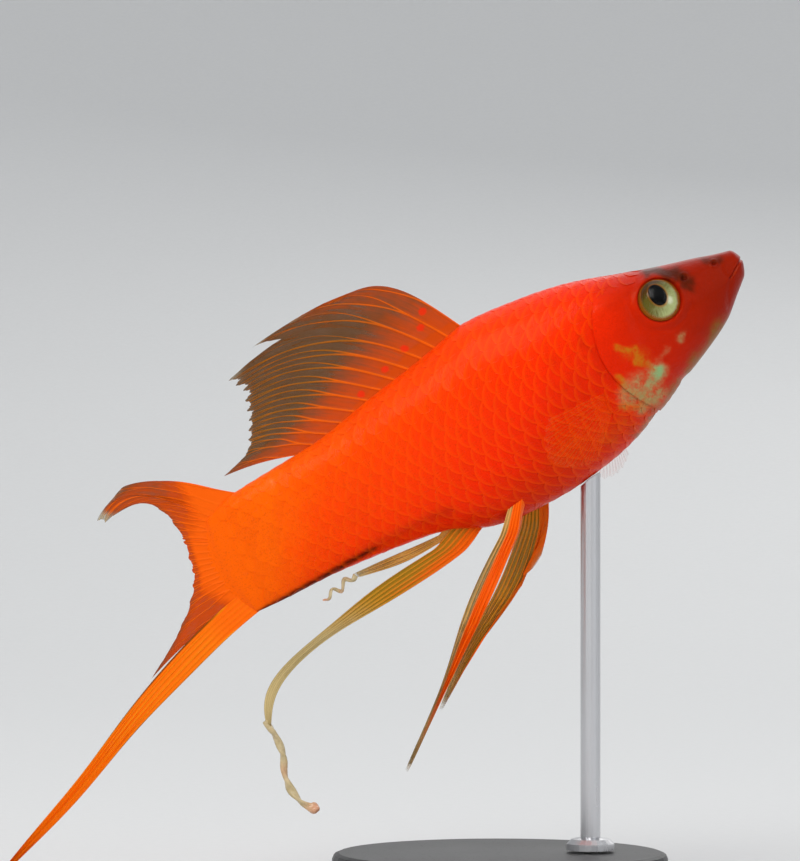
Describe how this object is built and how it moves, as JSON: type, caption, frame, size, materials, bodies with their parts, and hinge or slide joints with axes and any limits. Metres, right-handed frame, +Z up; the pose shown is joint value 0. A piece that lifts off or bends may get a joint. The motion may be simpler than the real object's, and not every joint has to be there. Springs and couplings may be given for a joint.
{
  "type": "male lyretail swordtail fish model on a display stand",
  "caption": "Life-size swordtail with a high dorsal fin, forked tail and long sword, swimming nose-up on a plain round display stand.",
  "frame": {"origin": "middle of the stand base's underside", "axes": "+Z up; +X the way the fish faces, seen from above; +Y towards its left flank"},
  "size_m": [0.0941, 0.042, 0.0812],
  "materials": {
    "red_skin": "satin red skin with a faint scale pattern",
    "orange_skin": "satin orange skin of the tail's stalk",
    "orange_fin": "thin translucent web with orange rays",
    "sword": "bright orange, satin",
    "clear_fin": "pale, nearly clear web with yellowish rays",
    "eye": "glossy, silvery green iris with a black pupil",
    "steel": "satin steel",
    "base": "matt black"
  },
  "bodies": {
    "root": {"head": "red_skin", "torso": "red_skin", "tail_stalk": "orange_skin", "eye_left": "eye", "eye_right": "eye", "dorsal_fin": "orange_fin", "caudal_fin_upper": "orange_fin", "caudal_fin_lower": "orange_fin", "sword": "sword", "gonopodium": "clear_fin", "gonopodium_filament": "clear_fin", "anal_fin": "clear_fin", "anal_fin_curl": "clear_fin", "pelvic_fin_left": "orange_fin", "pelvic_fin_right": "orange_fin", "pectoral_fin_left": "clear_fin", "pectoral_fin_right": "clear_fin", "stand_base": "base", "stand_rod": "steel"}
  },
  "joints": []
}
